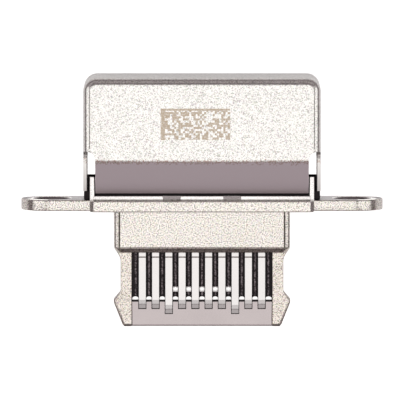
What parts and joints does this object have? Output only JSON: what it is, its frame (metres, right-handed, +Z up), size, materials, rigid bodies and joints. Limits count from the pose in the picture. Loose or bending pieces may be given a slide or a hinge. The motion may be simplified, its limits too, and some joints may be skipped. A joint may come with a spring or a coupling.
{
  "type": "usb-c socket",
  "caption": "Tongue-type USB-C socket: screw-eared metal flange, bare contact tongue pointing forward, drawn shield can over the solder tails behind.",
  "frame": {"origin": "midway between the two screw holes, on the flange's mating face, at the tongue's mid-plane", "axes": "+Z up out of the broad face, away from the board; -Y along the tongue, the way the plug comes from; +X along the flange"},
  "size_m": [0.0136, 0.0094, 0.0036],
  "materials": {
    "frame_metal": "bead-blasted bright steel",
    "can_metal": "bead-blasted drawn sheet",
    "shield_metal": "smooth bright sheet",
    "plate_metal": "smooth satin",
    "contact_metal": "plated pale, smooth",
    "moulding": "matt black glass-filled moulding"
  },
  "bodies": {
    "root": {"frame": "frame_metal", "ground_plate": "plate_metal", "upper_moulding": "moulding", "lower_moulding": "moulding", "inner_shield": "shield_metal", "rear_can": "can_metal", "contact_a2": "contact_metal", "contact_a3": "contact_metal", "contact_a4": "contact_metal", "contact_a5": "contact_metal", "contact_a6": "contact_metal", "contact_a7": "contact_metal", "contact_a8": "contact_metal", "contact_a9": "contact_metal", "contact_a10": "contact_metal", "contact_a11": "contact_metal", "contact_b2": "contact_metal", "contact_b3": "contact_metal", "contact_b4": "contact_metal", "contact_b5": "contact_metal", "contact_b6": "contact_metal", "contact_b7": "contact_metal", "contact_b8": "contact_metal", "contact_b9": "contact_metal", "contact_b10": "contact_metal", "contact_b11": "contact_metal"}
  },
  "joints": []
}
